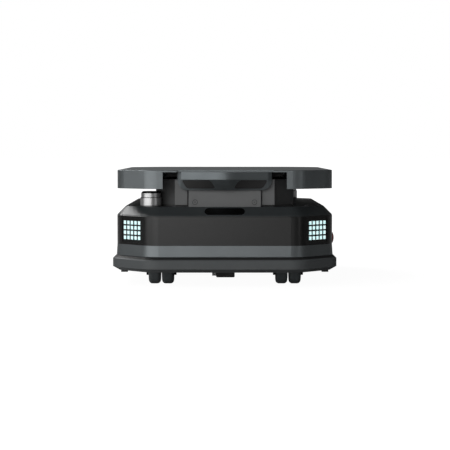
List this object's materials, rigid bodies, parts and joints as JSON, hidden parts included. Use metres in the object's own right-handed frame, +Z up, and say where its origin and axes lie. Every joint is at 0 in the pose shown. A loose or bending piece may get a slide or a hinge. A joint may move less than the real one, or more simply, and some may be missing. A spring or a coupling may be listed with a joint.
{
  "type": "autonomous mobile robot",
  "caption": "Low, wide floor robot with cut corners, a bevelled cover, a faceted sensor nose and a flat deck that rises over the whole top to carry loads.",
  "frame": {"origin": "on the floor under the middle of the machine", "axes": "+Z up, -Y towards the front with the sensor nose, +X towards the side with the emergency stop"},
  "size_m": [0.5, 0.707, 0.2556],
  "materials": {
    "deck_paint": "satin",
    "deck_frame_paint": "matte",
    "tower_paint": "satin",
    "tower_shell": "matte",
    "cover_plastic": "satin",
    "panel_plastic": "gloss",
    "window_plastic": "gloss",
    "light_tile": "lit",
    "band_paint": "satin",
    "bumper_rubber": "matte",
    "plate_paint": "matte",
    "frame_paint": "matte",
    "well_steel": "matte",
    "bracket_steel": "satin",
    "nose_plastic": "satin",
    "scanner_metal": "polished",
    "scanner_cap": "gloss",
    "screw_steel": "satin",
    "rod_steel": "polished",
    "bronze": "satin",
    "motor_paint": "satin",
    "hub_metal": "satin",
    "drive_tyre": "matte",
    "arm_steel": "satin",
    "spring_rubber": "matte",
    "fork_steel": "zinc plated",
    "caster_tread": "satin",
    "collar_plastic": "satin",
    "stop_red": "gloss",
    "button_metal": "satin",
    "button_plastic": "gloss",
    "sensor_plastic": "matte",
    "lamp_lens": "clear",
    "battery_case": "matte",
    "control_case": "satin",
    "contact_brass": "satin"
  },
  "bodies": {
    "chassis": {"base_plate": "plate_paint", "chassis_frame": "frame_paint", "caster_wells": "well_steel", "bumper_ring": "bumper_rubber", "lower_band": "band_paint", "led_window_front_left": "window_plastic", "led_window_front_right": "window_plastic", "led_windows_rear": "window_plastic", "led_tiles_front_left": "light_tile", "led_tiles_front_right": "light_tile", "led_tiles_rear": "light_tile", "panel_wrap": "panel_plastic", "charge_contacts": "contact_brass", "top_cover": "cover_plastic", "bevel_window": "window_plastic", "tower_housing": "tower_shell", "tower_front_plate": "tower_paint", "tower_side_plates": "tower_paint", "tower_screws": "screw_steel", "nose_housing": "nose_plastic", "nose_window_left": "window_plastic", "nose_window_right": "window_plastic", "lidar_front_body": "scanner_metal", "lidar_front_cap": "scanner_cap", "lidar_rear_body": "scanner_metal", "lidar_rear_cap": "scanner_cap", "lift_bushes": "bronze", "lift_motor": "motor_paint", "suspension_brackets": "bracket_steel", "suspension_spring_left": "spring_rubber", "suspension_spring_right": "spring_rubber", "estop_collar": "collar_plastic", "power_button_bezel": "button_metal", "floor_sensor": "sensor_plastic", "floor_lamp": "lamp_lens", "drop_sensors": "sensor_plastic", "control_box": "control_case", "battery_pack": "battery_case"},
    "lift_deck": {"deck_shell": "deck_paint", "deck_frame": "deck_frame_paint", "lift_posts": "rod_steel", "lift_nut": "bronze"},
    "lift_screw": {"lift_screw": "rod_steel"},
    "drive_arm_left": {"drive_arm_left": "arm_steel"},
    "drive_wheel_left": {"drive_hub_left": "hub_metal", "drive_tyre_left": "drive_tyre"},
    "drive_arm_right": {"drive_arm_right": "arm_steel"},
    "drive_wheel_right": {"drive_hub_right": "hub_metal", "drive_tyre_right": "drive_tyre"},
    "caster_swivel_front_left": {"caster_fork_front_left": "fork_steel"},
    "caster_roll_front_left": {"caster_wheels_front_left": "caster_tread"},
    "caster_swivel_front_right": {"caster_fork_front_right": "fork_steel"},
    "caster_roll_front_right": {"caster_wheels_front_right": "caster_tread"},
    "caster_swivel_rear_left": {"caster_fork_rear_left": "fork_steel"},
    "caster_roll_rear_left": {"caster_wheels_rear_left": "caster_tread"},
    "caster_swivel_rear_right": {"caster_fork_rear_right": "fork_steel"},
    "caster_roll_rear_right": {"caster_wheels_rear_right": "caster_tread"},
    "estop_stem": {"estop_stem": "sensor_plastic"},
    "estop_head": {"estop_head": "stop_red"},
    "power_button": {"power_button": "button_plastic"}
  },
  "joints": [
    {"name": "deck_lift", "type": "slide", "parent": "chassis", "child": "lift_deck", "axis": [0, 0, 1], "range_m": [0, 0.06]},
    {"name": "lift_screw_turn", "type": "hinge", "parent": "chassis", "child": "lift_screw", "pos_m": [0, 0, 0.118], "axis": [0, 0, 1], "range_deg": [-1081, 0]},
    {"name": "drive_arm_swing_left", "type": "hinge", "parent": "chassis", "child": "drive_arm_left", "pos_m": [-0.145, 0.095, 0.075], "axis": [1, 0, 0], "range_deg": [-3, 3], "stiffness_Nm_per_rad": 600, "springref_deg": 0.54, "deforming": ["suspension_spring_left"]},
    {"name": "drive_wheel_spin_left", "type": "hinge", "parent": "drive_arm_left", "child": "drive_wheel_left", "pos_m": [-0.1675, 0, 0.075], "axis": [1, 0, 0], "continuous": true},
    {"name": "drive_arm_swing_right", "type": "hinge", "parent": "chassis", "child": "drive_arm_right", "pos_m": [0.145, 0.095, 0.075], "axis": [1, 0, 0], "range_deg": [-3, 3], "stiffness_Nm_per_rad": 600, "springref_deg": 0.54, "deforming": ["suspension_spring_right"]},
    {"name": "drive_wheel_spin_right", "type": "hinge", "parent": "drive_arm_right", "child": "drive_wheel_right", "pos_m": [0.1675, 0, 0.075], "axis": [1, 0, 0], "continuous": true},
    {"name": "caster_swivel_front_left", "type": "hinge", "parent": "chassis", "child": "caster_swivel_front_left", "pos_m": [-0.142, -0.252, 0.09], "axis": [0, 0, 1], "continuous": true},
    {"name": "caster_roll_front_left", "type": "hinge", "parent": "caster_swivel_front_left", "child": "caster_roll_front_left", "pos_m": [-0.142, -0.23, 0.032], "axis": [1, 0, 0], "continuous": true},
    {"name": "caster_swivel_front_right", "type": "hinge", "parent": "chassis", "child": "caster_swivel_front_right", "pos_m": [0.142, -0.252, 0.09], "axis": [0, 0, 1], "continuous": true},
    {"name": "caster_roll_front_right", "type": "hinge", "parent": "caster_swivel_front_right", "child": "caster_roll_front_right", "pos_m": [0.142, -0.23, 0.032], "axis": [1, 0, 0], "continuous": true},
    {"name": "caster_swivel_rear_left", "type": "hinge", "parent": "chassis", "child": "caster_swivel_rear_left", "pos_m": [-0.142, 0.252, 0.09], "axis": [0, 0, 1], "continuous": true},
    {"name": "caster_roll_rear_left", "type": "hinge", "parent": "caster_swivel_rear_left", "child": "caster_roll_rear_left", "pos_m": [-0.142, 0.274, 0.032], "axis": [1, 0, 0], "continuous": true},
    {"name": "caster_swivel_rear_right", "type": "hinge", "parent": "chassis", "child": "caster_swivel_rear_right", "pos_m": [0.142, 0.252, 0.09], "axis": [0, 0, 1], "continuous": true},
    {"name": "caster_roll_rear_right", "type": "hinge", "parent": "caster_swivel_rear_right", "child": "caster_roll_rear_right", "pos_m": [0.142, 0.274, 0.032], "axis": [1, 0, 0], "continuous": true},
    {"name": "estop_push", "type": "slide", "parent": "chassis", "child": "estop_stem", "axis": [-1, 0, 0], "range_m": [0, 0.0025]},
    {"name": "estop_twist", "type": "hinge", "parent": "estop_stem", "child": "estop_head", "pos_m": [0.245, -0.17, 0.1], "axis": [-1, 0, 0], "range_deg": [0, 45], "stiffness_Nm_per_rad": 0.02},
    {"name": "power_button_push", "type": "slide", "parent": "chassis", "child": "power_button", "axis": [0, 0, -1], "range_m": [0, 0.0015], "stiffness_N_per_m": 600}
  ],
  "couplings": [
    {"joint": "lift_screw_turn", "follows": "deck_lift", "rad_per_m": -314.16}
  ]
}
